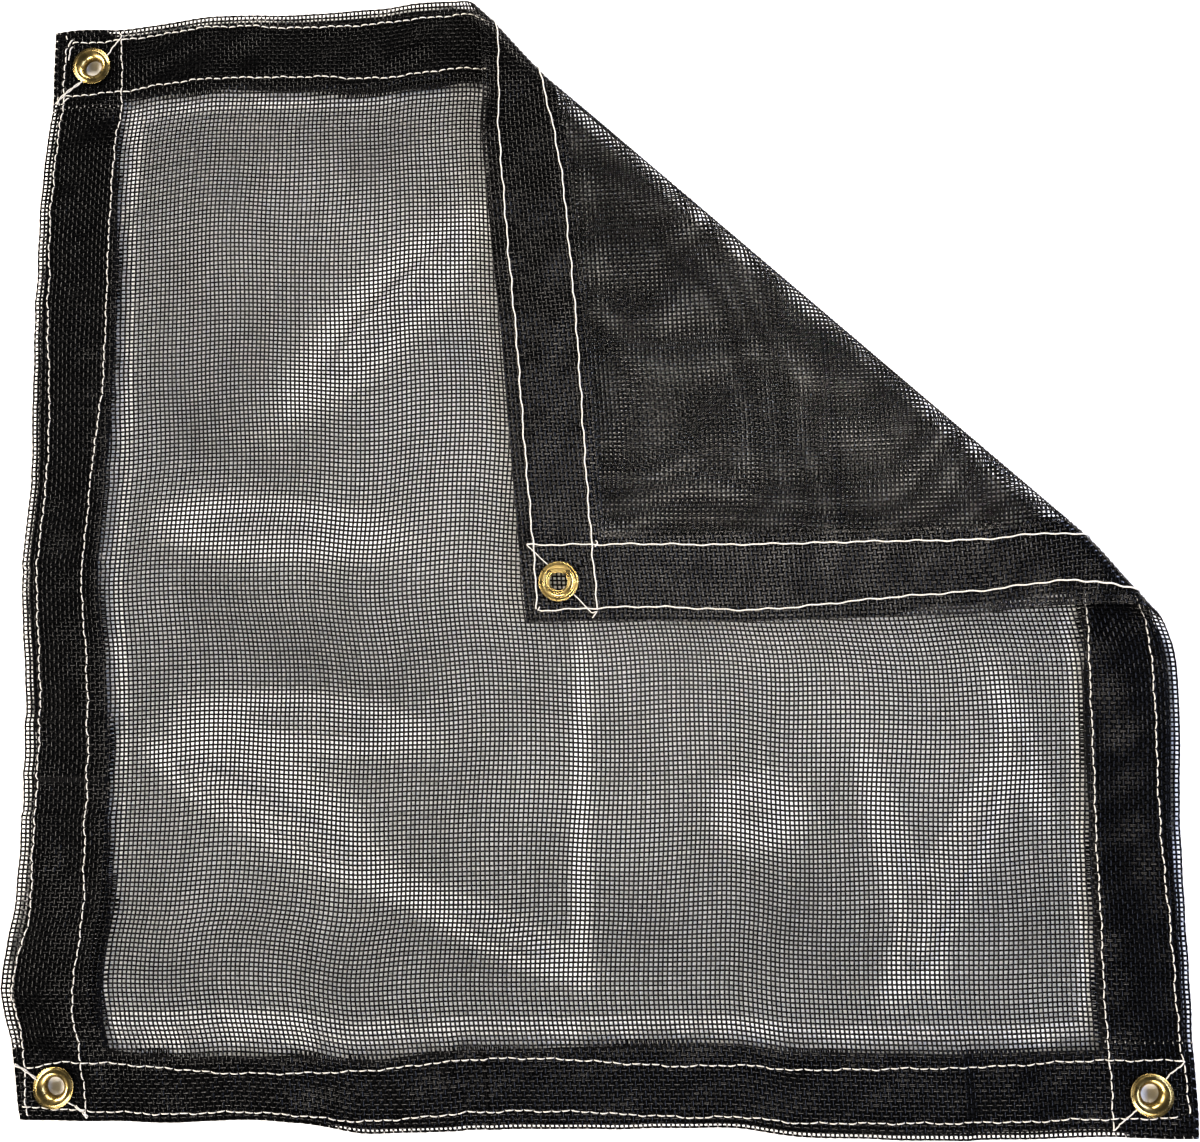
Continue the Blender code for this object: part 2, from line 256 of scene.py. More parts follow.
hem = {
    "faceHeight": 2.1,  # middle of the mesh on the hem's face, over the webbing
    "backHeight": 0.53,
    "webbingLow": 1.05,
    "webbingHigh": 1.6,
    "webbingIn": 2.2,  # the webbing ends this far short of the raw inner edge
    "edgeFace": 1.35,  # heights of the two layers where they meet at the folded edge
    "edgeBack": 0.75,
    "faceToMesh": (-4.5, 5.5),  # start of that slope, from the raw inner edge, and its length
    "edgeToFace": (-3.2, 4.0),  # the same from the webbing's outer edge, for each layer
    "edgeToBack": (-4.5, 4.0),
    "shift": 1.1,  # the turned-in layer is this much out of step with the face
    "shiftWave": 173.0,
    "shiftSlant": 1.3,
    "shiftFrom": (3.0, 9.0),  # it starts this far inside the folded edge and is full after this
}

# Where the cloth is lifted by the grommets' washers: inset from both edges of that corner
grommets = {
    "tl": {"corner": "topLeft", "inset": (23.0, 22.4)},
    "bl": {"corner": "bottomLeft", "inset": (20.3, 17.1)},
    "br": {"corner": "bottomRight", "inset": (22.9, 21.3)},
    "flap": {"corner": "topRight", "inset": (22.2, 19.6)},
}
cornerLift = {
    "height": 1.4,
    "level": 13.5,  # level out to here from the middle of a grommet
    "slope": 22.5,  # and down to nothing over this
    "calm": (12.0, 12.0),  # the hem's relief starts here and is full after this
}
punched = {  # clear radius round a grommet's barrel
    "yarn": 7.6,
    "stitch": 8.6,
    "webbing": 7.3,
}


def eased(rows, x):  # a short table read on a curve that never overshoots it
    stations, values = np.array(rows, float).T
    steepness = np.diff(values) / np.diff(stations)
    before, after = steepness[:-1], steepness[1:]
    turning = before * after <= 0
    together = np.where(turning, 1.0, before + after)
    inner = np.where(turning, 0.0, 2 * before * after / together)
    slopes = np.concatenate([steepness[:1], inner, steepness[-1:]])
    x = np.clip(x, stations[0], stations[-1])
    i = np.clip(np.searchsorted(stations, x, side="right") - 1, 0, len(stations) - 2)
    span = stations[i + 1] - stations[i]
    f = (x - stations[i]) / span
    return (
        values[i] * (1 + 2 * f) * (1 - f) ** 2
        + values[i + 1] * (3 - 2 * f) * f**2
        + slopes[i] * span * f * (1 - f) ** 2
        - slopes[i + 1] * span * f**2 * (1 - f)
    )


def rises(x, start, reach):  # 0 up to the start, then eased up to 1 over the reach
    f = np.clip((x - start) / reach, 0.0, 1.0)
    return f * f * (3 - 2 * f)


def slowWave(row, u, v):  # between -size and size
    turn = math.radians(row["turn"])
    along = (u * math.cos(turn) + v * math.sin(turn)) / row["wave"]
    return row["size"] * np.sin(math.tau * along + row["phase"])


def sidePoint(name, station):
    start, end = (np.array(corners[corner]) for corner in sides[name]["ends"])
    along = (end - start) / np.linalg.norm(end - start)
    across = sides[name]["outward"] * np.array((-along[1], along[0]))
    share = (np.asarray(station) / side)[..., None]
    return start + share * (end - start) + eased(bows[name], station)[..., None] * across


def spread(u, v):  # a patch between the four bowed sides
    a, b = (u / side)[..., None], (v / side)[..., None]
    corner = {name: np.array(place) for name, place in corners.items()}
    low = (1 - a) * corner["bottomLeft"] + a * corner["bottomRight"]
    high = (1 - a) * corner["topLeft"] + a * corner["topRight"]
    rows = (1 - b) * sidePoint("bottom", u) + b * sidePoint("top", u)
    columns = (1 - a) * sidePoint("left", v) + a * sidePoint("right", v)
    return rows + columns - (1 - b) * low - b * high


def toFold(u, v):  # place along the fold's line, and distance past it
    place = spread(u, v)
    along = place @ (math.cos(fold["angle"]), math.sin(fold["angle"]))
    past = place @ (-math.sin(fold["angle"]), math.cos(fold["angle"]))
    return along, past - fold["rollStart"] - eased(fold["bow"], along)


def fromCorner(corner, inset):  # flat place at an inset from the two edges that meet there
    u = inset[0] if corner.endswith("Left") else side - inset[0]
    v = inset[1] if corner.startswith("bottom") else side - inset[1]
    return u, v


grommetMiddles = [fromCorner(grommet["corner"], grommet["inset"]) for grommet in grommets.values()]


def fromGrommets(u, v):  # distance to the nearest grommet's middle
    return np.min([np.hypot(u - middleU, v - middleV) for middleU, middleV in grommetMiddles], axis=0)


def grommetLift(u, v):
    down = rises(fromGrommets(u, v), cornerLift["level"], cornerLift["slope"])
    return cornerLift["height"] * (1 - down)


def fromEdge(u, v):  # distance to the nearest folded edge
    return np.minimum(np.minimum(u, side - u), np.minimum(v, side - v))


def looseness(u, v):  # 1 well inside the mesh and 0 at its hem
    return rises(fromEdge(u, v), cloth["hemDepth"], cloth["settleReach"])


def waveHeight(x, y):
    height = np.zeros_like(x)
    for wave in waves:
        turn = math.radians(wave["turn"])
        dx, dy = x - wave["x"], y - wave["y"]
        along = (dx * math.cos(turn) + dy * math.sin(turn)) / wave["length"]
        across = (dy * math.cos(turn) - dx * math.sin(turn)) / wave["width"]
        height += wave["height"] * np.exp(-(along**2) - across**2)
    return height


def hemRelief(u, v):  # height of the swells and creases
    height = np.zeros_like(u)
    for swell in swells:
        height += swell["size"] + slowWave(swell, u, v)
    for crease in creases:
        station, distance = fromSides(u, v)[crease["side"]]
        past = (station - crease["station"]) * crease["falls"]
        ridge = np.exp(np.minimum(past, 0) / crease["climb"]) * (1 - rises(past, 0, crease["fall"]))
        height += crease["height"] * ridge * (1 - rises(distance, cloth["hemDepth"], creaseEnd))
    clear = rises(fromGrommets(u, v), *cornerLift["calm"])
    return height * clear * (1 - rises(looseness(u, v), 0, cloth["firmReach"]))


def laid(u, v, w):  # lying place in metres of a point of the flat cloth in millimetres
    along, past = toFold(u, v)
    up, loose = grommetLift(u, v), looseness(u, v)
    roll = fold["rollRadius"]
    turn = np.clip(past / roll, 0, math.pi)
    back = np.maximum(past - math.pi * roll, 0)  # how far out on the flap
    settle = 1 - (1 + back / fold["flapSettle"]) * np.exp(-back / fold["flapSettle"])
    z = roll - (roll - w) * np.cos(turn) - settle * (2 * roll - fold["flapRest"])
    flapUp = rises(back, 0, cloth["settleReach"]) * (up - fold["flapDip"] * loose)
    z += np.where(past > 0, flapUp, up) + hemRelief(u, v) * (1 - np.sin(turn))
    across = np.minimum(past, 0) + (roll - w) * np.sin(turn) - back
    across = across + fold["rollStart"] + eased(fold["bow"], along)
    x = along * math.cos(fold["angle"]) - across * math.sin(fold["angle"])
    y = along * math.sin(fold["angle"]) + across * math.cos(fold["angle"])
    onFloor = waveHeight(x, y) * loose * rises(-past, 0, waveReach)
    z += np.where(past < 0, onFloor, 0)
    return np.stack((x, y, z), axis=-1) * mm


def flatPoint(name, station, distance):  # a point of the flat cloth, from one of its sides
    s = sides[name]
    u = s["start"][0] + s["along"][0] * station + s["inward"][0] * distance
    v = s["start"][1] + s["along"][1] * station + s["inward"][1] * distance
    return u, v


def fromSides(u, v):  # station and distance of a point about each side
    return {
        "bottom": (u, v),
        "top": (u, side - v),
        "left": (v, u),
        "right": (v, side - u),
    }


def insideRow(row, u, v):  # distance inside one row of the hems, negative on its outer side
    places = fromSides(u, v).items()
    return np.min([d - eased(hemRows[name][row], s) for name, (s, d) in places], axis=0)


def faceHeight(u, v):  # middle height of the face mesh, which rides over the webbing
    onHem = 1 - rises(insideRow("edge", u, v), *hem["faceToMesh"])
    height = cloth["meshMiddle"] + (hem["faceHeight"] - cloth["meshMiddle"]) * onHem
    onMargin = 1 - rises(insideRow("webbing", u, v), *hem["edgeToFace"])
    return height + (hem["edgeFace"] - height) * onMargin


def backHeight(u, v):
    onMargin = 1 - rises(insideRow("webbing", u, v), *hem["edgeToBack"])
    return hem["backHeight"] + (hem["edgeBack"] - hem["backHeight"]) * onMargin


def drifted(u, v):
    loose = looseness(u, v)
    pushU, pushV = (
        sum(slowWave(drift, u, v) for drift in drifts if drift["push"] == way) for way in "uv"
    )
    return u + loose * pushU, v + loose * pushV


def tubes(points, keep, openBase=False):
    # Vertices and faces of many tubes at once. points is (runs, rings, corners, 3) and keep says
    # which stretches between two rings are there. An open base leaves out each tube's first side.
    count = points.shape[:3]
    number = np.arange(math.prod(count)).reshape(count)
    near, far = number[:, :-1][keep], number[:, 1:][keep]
    quads = np.stack((near, far, np.roll(far, -1, axis=1), np.roll(near, -1, axis=1)), axis=-1)
    if openBase:
        quads = quads[:, 1:]
    none = np.zeros((count[0], 1), bool)
    starts = keep & ~np.hstack((none, keep[:, :-1]))
    ends = keep & ~np.hstack((keep[:, 1:], none))
    caps = np.concatenate((number[:, :-1][starts], number[:, 1:][ends][:, ::-1]))
    return points.reshape(-1, 3), quads.reshape(-1, 4), caps


def addObject(name, data):
    made = bpy.data.objects.new(name, data)
    bpy.context.scene.collection.objects.link(made)
    return made


def newPiece(name, parts, surface):
    # One object from several sets of tubes, whose end caps stay flat. Yarns also say where they
    # pass over the ones that they cross
    places, faces, capped, overs = [], [], [], []
    offset = 0
    for points, quads, caps, *over in parts:
        ends = np.concatenate((quads.ravel(), caps.ravel()))
        used, renumbered = np.unique(ends, return_inverse=True)
        places.append(points[used])
        overs += over[0][used].tolist() if over else []
        faces += (renumbered[: quads.size].reshape(-1, 4) + offset).tolist()
        faces += (renumbered[quads.size :].reshape(caps.shape) + offset).tolist()
        capped += [False] * len(quads) + [True] * len(caps)
        offset += len(used)
    mesh = bpy.data.meshes.new(name)
    mesh.from_pydata(np.concatenate(places).tolist(), [], faces)
    mesh.shade_smooth()
    flat = mesh.attributes.get("sharp_face") or mesh.attributes.new("sharp_face", "BOOLEAN", "FACE")
    flat.data.foreach_set("value", capped)
    if overs:
        mesh.attributes.new("over", "FLOAT", "POINT").data.foreach_set("value", overs)
    mesh.materials.append(surface)
    piece = addObject(name, mesh)
    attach(piece, "root")
    return piece


def srgb(code):  # "#rrggbb" as linear light, with alpha
    parts = [int(code[i : i + 2], 16) / 255 for i in (1, 3, 5)]
    return [c / 12.92 if c <= 0.04045 else ((c + 0.055) / 1.055) ** 2.4 for c in parts] + [1.0]


def feed(tree, node, inputs):  # each input gets a link or a plain value
    for key, value in inputs.items():
        if isinstance(value, bpy.types.NodeSocket):
            tree.links.new(value, node.inputs[key])
        else:
            node.inputs[key].default_value = value


def addNode(tree, kind, settings=None, inputs=None):
    node = tree.nodes.new(kind)
    for key, value in (settings or {}).items():
        setattr(node, key, value)
    feed(tree, node, inputs or {})
    return node


def newMaterial(name):
    material = bpy.data.materials.new(name)
    material.use_nodes = True
    return material, material.node_tree, material.node_tree.nodes["Principled BSDF"]


yarnLook = {
    "coat": "#030303",
    "rubbed": "#070708",
    "ior": 1.5,
    "roughness": (0.13, 0.2),
    "gloss": (0.0, 0.27),  # beside and on top of the floats
    "float": (-0.3, 0.1),  # share of the bend where a float starts, and where it is one fully
    "patch": 22.0,  # mm
    "ripple": 0.5,  # mm
    "rippleDepth": 0.015,  # mm
}


def coatedYarn():
    # Polyester yarn in extruded black PVC: smooth but not polished. Each yarn shows a thin grey
    # glint where it passes over another, so the glints step across the weave
    material, tree, shader = newMaterial("pvcCoatedPolyesterYarn")
    place = addNode(tree, "ShaderNodeTexCoord").outputs["Object"]
    patch = addNode(tree, "ShaderNodeTexNoise", {}, {
        "Vector": place, "Scale": 1 / (yarnLook["patch"] * mm), "Detail": 3.0,
    }).outputs["Fac"]
    colour = addNode(tree, "ShaderNodeMix", {"data_type": "RGBA"}, {  # 6 and 7 are its two colours
        "Factor": patch, 6: srgb(yarnLook["coat"]), 7: srgb(yarnLook["rubbed"]),
    })
    rough = addNode(tree, "ShaderNodeMapRange", {}, {
        "Value": patch, "From Min": 0.3, "From Max": 0.7,
        "To Min": yarnLook["roughness"][0], "To Max": yarnLook["roughness"][1],
    })
    over = addNode(tree, "ShaderNodeAttribute", {"attribute_name": "over"}).outputs["Fac"]
    gloss = addNode(tree, "ShaderNodeMapRange", {"interpolation_type": "SMOOTHSTEP"}, {
        "Value": over, "From Min": yarnLook["float"][0], "From Max": yarnLook["float"][1],
        "To Min": yarnLook["gloss"][0], "To Max": yarnLook["gloss"][1],
    })
    ripple = addNode(tree, "ShaderNodeTexNoise", {}, {
        "Vector": place, "Scale": 1 / (yarnLook["ripple"] * mm), "Detail": 1.0,
    })
    bump = addNode(tree, "ShaderNodeBump", {}, {
        "Height": ripple.outputs["Fac"], "Distance": yarnLook["rippleDepth"] * mm,
    })
    feed(tree, shader, {
        "Base Color": colour.outputs[2], "Normal": bump.outputs["Normal"], "IOR": yarnLook["ior"],
        "Roughness": rough.outputs["Result"], "Specular IOR Level": gloss.outputs["Result"],
    })
    return material


webbingLook = {
    "dark": "#040405",
    "light": "#0a0a0b",
    "roughness": 0.5,
    "specular": 0.04,
    "rib": 1.15,  # mm between the ribs of the weave
    "depth": 0.15,  # mm
}


def wovenWebbing():
    # Black polypropylene webbing, woven in close ribs: dull, it only shows between the yarns
    material, tree, shader = newMaterial("wovenPolypropyleneWebbing")
    place = addNode(tree, "ShaderNodeUVMap", {"uv_map": "cut"}).outputs["UV"]
    bandsAtOne = 20 / math.tau  # bands to a unit of a wave texture whose scale is 1
    ribs, picks = (
        addNode(tree, "ShaderNodeTexWave", {"wave_type": "BANDS", "bands_direction": way}, {
            "Vector": place, "Scale": 1 / (bandsAtOne * webbingLook["rib"] * mm),
            "Distortion": 0.6, "Detail": 1.0,
        }).outputs["Fac"]
        for way in ("X", "Y")
    )
    weave = addNode(tree, "ShaderNodeMath", {"operation": "MULTIPLY"}, {0: ribs, 1: picks}).outputs[0]
    colour = addNode(tree, "ShaderNodeMix", {"data_type": "RGBA"}, {
        "Factor": weave, 6: srgb(webbingLook["dark"]), 7: srgb(webbingLook["light"]),
    })
    bump = addNode(tree, "ShaderNodeBump", {}, {
        "Height": weave, "Distance": webbingLook["depth"] * mm,
    })
    feed(tree, shader, {
        "Base Color": colour.outputs[2], "Normal": bump.outputs["Normal"],
        "Roughness": webbingLook["roughness"], "Specular IOR Level": webbingLook["specular"],
    })
    return material


threadLook = {
    "light": "#c2bfb8",
    "shade": "#8e8a82",
    "roughness": 0.7,
    "fuzz": 0.3,
    "fibre": 0.5,  # mm
    "depth": 0.06,  # mm
}


def sewingThread():
    # Off-white bonded polyester thread, twisted from plies: matt, with a soft fuzz of fibres
    material, tree, shader = newMaterial("twistedPolyesterThread")
    place = addNode(tree, "ShaderNodeTexCoord").outputs["Object"]
    fibre = addNode(tree, "ShaderNodeTexNoise", {}, {
        "Vector": place, "Scale": 1 / (threadLook["fibre"] * mm), "Detail": 2.0,
    }).outputs["Fac"]
    colour = addNode(tree, "ShaderNodeMix", {"data_type": "RGBA"}, {
        "Factor": fibre, 6: srgb(threadLook["shade"]), 7: srgb(threadLook["light"]),
    })
    bump = addNode(tree, "ShaderNodeBump", {}, {
        "Height": fibre, "Distance": threadLook["depth"] * mm,
    })
    feed(tree, shader, {
        "Base Color": colour.outputs[2], "Normal": bump.outputs["Normal"],
        "Roughness": threadLook["roughness"], "Sheen Weight": threadLook["fuzz"],
    })
    return material


brassLook = {
    "bright": "#a79461",
    "dull": "#716340",
    "roughness": (0.2, 0.34),
    "tarnish": 5.0,  # mm
    "scratch": 0.4,  # mm
    "depth": 0.0015,  # mm
}


def stampedBrass():
    # Yellow brass, drawn and stamped and then tumbled: satin, with bright rims and duller patches
    material, tree, shader = newMaterial("stampedBrass")
    place = addNode(tree, "ShaderNodeTexCoord").outputs["Object"]
    tarnish = addNode(tree, "ShaderNodeTexNoise", {}, {
        "Vector": place, "Scale": 1 / (brassLook["tarnish"] * mm), "Detail": 4.0,
    }).outputs["Fac"]
    colour = addNode(tree, "ShaderNodeMix", {"data_type": "RGBA"}, {
        "Factor": tarnish, 6: srgb(brassLook["bright"]), 7: srgb(brassLook["dull"]),
    })
    rough = addNode(tree, "ShaderNodeMapRange", {}, {
        "Value": tarnish, "From Min": 0.35, "From Max": 0.65,
        "To Min": brassLook["roughness"][0], "To Max": brassLook["roughness"][1],
    })
    scratch = addNode(tree, "ShaderNodeTexNoise", {}, {
        "Vector": place, "Scale": 1 / (brassLook["scratch"] * mm), "Detail": 2.0,
    })
    bump = addNode(tree, "ShaderNodeBump", {}, {
        "Height": scratch.outputs["Fac"], "Distance": brassLook["depth"] * mm,
    })
    feed(tree, shader, {
        "Base Color": colour.outputs[2], "Normal": bump.outputs["Normal"], "Metallic": 1.0,
        "Roughness": rough.outputs["Result"],
    })
    return material


yarnMaterial = coatedYarn()
webbingMaterial = wovenWebbing()
threadMaterial = sewingThread()
brassMaterial = stampedBrass()
print("materials ready")


# The yarn: three-sided, with its flat side away from the face that shows
yarn = {
    "halfWidth": 0.48,
    "base": -0.19,
    "ridge": 0.21,
    "bend": 0.22,  # a yarn goes this far over and under the ones it crosses
    "roll": 0.12,  # radians that it may be rolled to either side at a crossing
    "stray": 0.06,  # it may lie this far off its place
    "sway": 0.04,  # and sway this far to either side of that
    "swayLength": 5.0,  # crossings to a radian of the sway
    "tip": 0.15,  # spacings that a yarn goes on past the last one that it crosses
}


def chance(i, j, seed):  # the same scattered number between -1 and 1 each time for a crossing
    return 2 * np.modf(np.abs(np.sin(i * 12.7 + j * 31.17 + seed) * 4375.85))[0] - 1


def yarnPoints(places, stations, isWarp, middle, turnedOver, shift=None):
    # Corners of the yarns of one direction: places are the yarns, stations the ones they cross,
    # and a station that isn't whole is a yarn's tip
    number, crossed = np.meshgrid(places, stations, indexing="ij")
    over = np.where(crossed == np.round(crossed), np.where((number + crossed) % 2 == 0, 1.0, -1.0), 0.0)
    over = over if isWarp else -over
    roll = (yarn["roll"] * chance(number, crossed, 0.3 + isWarp))[..., None]
    phase = 3 * chance(number, 0, 1.9 + isWarp)
    stray = yarn["stray"] * chance(number, 0, 4.1)
    stray = stray + yarn["sway"] * np.sin(crossed / yarn["swayLength"] + phase)
    across = cloth["edgeYarn"] + number * pitch + stray
    along = cloth["edgeYarn"] + crossed * pitch
    flip = -1 if turnedOver else 1
    offsets = np.array((-1, 1, 0)) * yarn["halfWidth"] * flip
    heights = np.array((yarn["base"], yarn["base"], yarn["ridge"])) * flip
    offsets, heights = offsets - heights * roll, heights + offsets * roll
    centreU, centreV = (across, along) if isWarp else (along, across)
    if shift:
        centreU, centreV = shift(centreU, centreV)
    u = centreU[..., None] + (offsets if isWarp else 0 * offsets)
    v = centreV[..., None] + (0 * offsets if isWarp else -offsets)
    w = (middle(centreU, centreV) + over * yarn["bend"])[..., None] + heights
    return laid(u, v, w), np.repeat(over * flip, 3), centreU, centreV


def between(values):  # halfway from each ring to the next
    return (values[:, 1:] + values[:, :-1]) / 2


lastYarn = cloth["yarnsPerSide"] - 1
hemYarns = 19  # yarns that lie in the depth of a hem
backYarns = 25  # the turned-in layer is woven this deep and then cut along its raw edge
underYarns = 5  # a side hem's turned-in layer reaches this far under the other hems' edges


def panelBand(name, firstRow, lastRow):
    columns = np.arange(hemYarns, lastYarn - hemYarns + 1)
    rows = np.arange(firstRow, lastRow)
    rowRings = np.arange(firstRow, min(lastRow, lastYarn - hemYarns) + 1)
    parts = []
    for isWarp, places, stations in ((True, columns, rowRings), (False, rows, columns)):
        for turnedOver in (False, True):
            made = yarnPoints(places, stations, isWarp, faceHeight, turnedOver, drifted)
            points, overs, u, v = made
            keep = (between(toFold(u, v)[1]) > 0) == turnedOver
            if keep.any():
                parts.append((*tubes(points, keep), overs))
    return newPiece(name, parts, yarnMaterial)


def hemShift(u, v):
    # The turned-in layer has slipped out of step along the hem, more in some places than others
    slip = hem["shift"] * np.sin(math.tau * (u + hem["shiftSlant"] * v) / hem["shiftWave"]) ** 3
    slip = slip * rises(fromEdge(u, v), *hem["shiftFrom"])
    alongU = np.minimum(v, side - v) < np.minimum(u, side - u)
    return u + np.where(alongU, slip, 0), v + np.where(alongU, 0, slip)


def hemLayer(name, sideName, isFace):
    isSideHem = sideName in ("left", "right")
    if isSideHem:
        start = hemYarns if isFace else hemYarns - underYarns
        lengthwise = lengthRings = np.arange(start, lastYarn - start + 1)
    else:
        lengthwise = np.arange(lastYarn + 1)
        lengthRings = np.concatenate(([-yarn["tip"]], lengthwise, [lastYarn + yarn["tip"]]))
    depth = np.arange(hemYarns if isFace else backYarns)
    depthRings = np.concatenate(([-yarn["tip"]], np.arange(hemYarns + 1 if isFace else backYarns)))
    if sideName in ("top", "right"):
        depth, depthRings = lastYarn - depth[::-1], lastYarn - depthRings[::-1]
    middle = faceHeight if isFace else backHeight
    shift = None if isFace else hemShift
    parts = []
    for places, stations, isWarp in (
        (depth, lengthRings, isSideHem),
        (lengthwise, depthRings, not isSideHem),
    ):
        points, overs, u, v = yarnPoints(places, stations, isWarp, middle, not isFace, shift)
        keep = fromGrommets(between(u), between(v)) > punched["yarn"]
        if not isFace:
            for other, (station, distance) in fromSides(u, v).items():
                inside = between(distance - eased(hemRows[other]["edge"], station))
                if other == sideName:
                    keep &= inside < 0
                elif isSideHem and other in ("bottom", "top"):
                    keep &= inside > 0
        parts.append((*tubes(points, keep, openBase=True), overs))
    return newPiece(name, parts, yarnMaterial)


punch = {"sides": 32, "depth": 40.0}  # the cutter, deep enough for any place in the cloth


def punchHole(piece, name):  # the hole that a grommet's barrel goes through
    low, high = (Vector(corner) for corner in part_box(f"grommet_{name}"))
    disc = bmesh.new()
    bmesh.ops.create_cone(
        disc, cap_ends=True, segments=punch["sides"], depth=punch["depth"] * mm,
        radius1=punched["webbing"] * mm, radius2=punched["webbing"] * mm,
    )
    disc.transform(Matrix.Translation((low + high) / 2))
    cutterMesh = bpy.data.meshes.new("punch")
    disc.to_mesh(cutterMesh)
    disc.free()
    cutter = addObject("punch", cutterMesh)
    cutting = piece.modifiers.new("punch", "BOOLEAN")
    cutting.operation = "DIFFERENCE"
    cutting.object = cutter
    graph = bpy.context.evaluated_depsgraph_get()
    cut = bpy.data.meshes.new_from_object(piece.evaluated_get(graph))
    piece.modifiers.clear()
    old, piece.data = piece.data, cut
    cut.name = piece.name
    bpy.data.meshes.remove(old)
    bpy.data.objects.remove(cutter)
    bpy.data.meshes.remove(cutterMesh)


strap = {
    "rings": {"bottom": 123, "top": 245, "left": 123, "right": 245},  # more where it is folded
    "across": 7,
    "end": 0.8,  # it ends this far inside the folded edge
}


def webbing(name, sideName):
    # The side hems' webbings butt against those of the bottom and top hems
    isSideHem = sideName in ("left", "right")
    margin = hemYarns * pitch if isSideHem else strap["end"]
    stations = np.linspace(margin, side - margin, strap["rings"][sideName])
    low = eased(hemRows[sideName]["webbing"], stations)
    high = eased(hemRows[sideName]["edge"], stations) - hem["webbingIn"]
    distance = low[:, None] + (high - low)[:, None] * np.linspace(0, 1, strap["across"])
    around = (distance, distance[:, ::-1])  # its underside and then back over its top
    width = np.concatenate(around if sideName in ("top", "left") else around[::-1], axis=1)
    height = np.ones_like(width) * hem["webbingHigh"]
    height[:, : strap["across"]] = hem["webbingLow"]
    station = stations[:, None] * np.ones_like(width)
    if isSideHem:
        place = width if sideName == "left" else side - width
        start = eased(hemRows["bottom"]["edge"], place) - hem["webbingIn"] - margin
        end = margin - eased(hemRows["top"]["edge"], place) + hem["webbingIn"]
        station = station + start + (end - start) * (station - margin) / (side - 2 * margin)
    u, v = flatPoint(sideName, station, width)
    tube = tubes(laid(u, v, height)[None], np.ones((1, len(stations) - 1), bool))
    piece = newPiece(name, [tube], webbingMaterial)
    flat = np.stack((station, width), axis=-1).reshape(-1, 2) * mm
    corner = np.zeros(len(piece.data.loops), int)
    piece.data.loops.foreach_get("vertex_index", corner)
    piece.data.uv_layers.new(name="cut").data.foreach_set("uv", flat[corner].ravel())
    for grommet in grommets:
        punchHole(piece, grommet)
    return piece


bandCount = 4
bandRows = np.linspace(hemYarns, lastYarn - hemYarns + 1, bandCount + 1).round().astype(int)
panelBands = [
    panelBand(f"mesh_panel_{i + 1}", bandRows[i], bandRows[i + 1]) for i in range(bandCount)
]
for band in panelBands:
    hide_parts("mesh_panel")
print("mesh panel woven")

hemPieces = {}
for name in sides:
    hemPieces[name] = [
        hemLayer(f"hem_{name}_face", name, True),
        hemLayer(f"hem_{name}_back", name, False),
        webbing(f"hem_{name}_webbing", name),
    ]
    for piece in hemPieces[name]:
        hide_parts(f"hem_{name}")
print("hems woven")


stitch = {
    "pitch": 4.9,
    "length": 4.3,
    "radius": 0.33,
    "rings": (-1.0, -0.6, 0.0, 0.6, 1.0),  # from one end of a stitch to the other
    "top": 2.8,
    "dive": 0.9,  # a stitch's ends sink this far into the hem
    "taper": 0.25,  # and are this share thinner
    "sides": 5,
    "wobbles": ((0.3, 4.1, 1.0), (0.22, 1.7, 2.3)),  # size, millimetres to a radian, share of the seed
    "backRadius": 0.4,
    "backStep": 1.6,
    "backFloor": 0.42,  # height of the back seam where the hem lies on the floor
    "backFlap": -0.12,
    "backChange": 12.0,  # it goes from one height to the other over this, past the fold's line
}


def sideways(u, v):  # flat direction across each run of points
    du, dv = np.gradient(u, axis=1), np.gradient(v, axis=1)
    length = np.hypot(du, dv)
    return dv / length, -du / length


def roundTube(u, v, w, radius):  # corners of round tubes along runs of flat points
    acrossU, acrossV = sideways(u, v)
    angle = np.arange(stitch["sides"]) * math.tau / stitch["sides"]
    out, up = radius[..., None] * np.cos(angle), radius[..., None] * np.sin(angle)
    u, v, w = u[..., None], v[..., None], w[..., None]
    return laid(u + acrossU[..., None] * out, v + acrossV[..., None] * out, w + up)


def wobble(station, seed):  # a sewn line is never quite straight
    return sum(
        size * np.sin(station / reach + share * seed) for size, reach, share in stitch["wobbles"]
    )


def seamLine(sideName, row, station, seed):
    return flatPoint(sideName, station, eased(hemRows[sideName][row], station) + wobble(station, seed))


def onFace(u, v):  # height of a thread that lies on the face of the hem
    return stitch["top"] + faceHeight(u, v) - hem["faceHeight"]


def faceStitches(u, v):
    share = np.array(stitch["rings"])
    height = onFace(u, v) - stitch["dive"] * share**4
    radius = np.full_like(u, stitch["radius"]) * (1 - stitch["taper"] * share**2)
    middle = len(share) // 2
    clear = fromGrommets(u[:, middle], v[:, middle]) > punched["stitch"]
    return tubes(roundTube(u, v, height, radius), np.repeat(clear[:, None], len(share) - 1, axis=1))


def backSeam(u, v):
    onFlap = rises(toFold(u, v)[1], 0, stitch["backChange"])
    height = stitch["backFloor"] + (stitch["backFlap"] - stitch["backFloor"]) * onFlap
    radius = np.full_like(u, stitch["backRadius"])
    keep = fromGrommets(between(u), between(v)) > punched["yarn"]
    return tubes(roundTube(u, v, height, radius), keep)


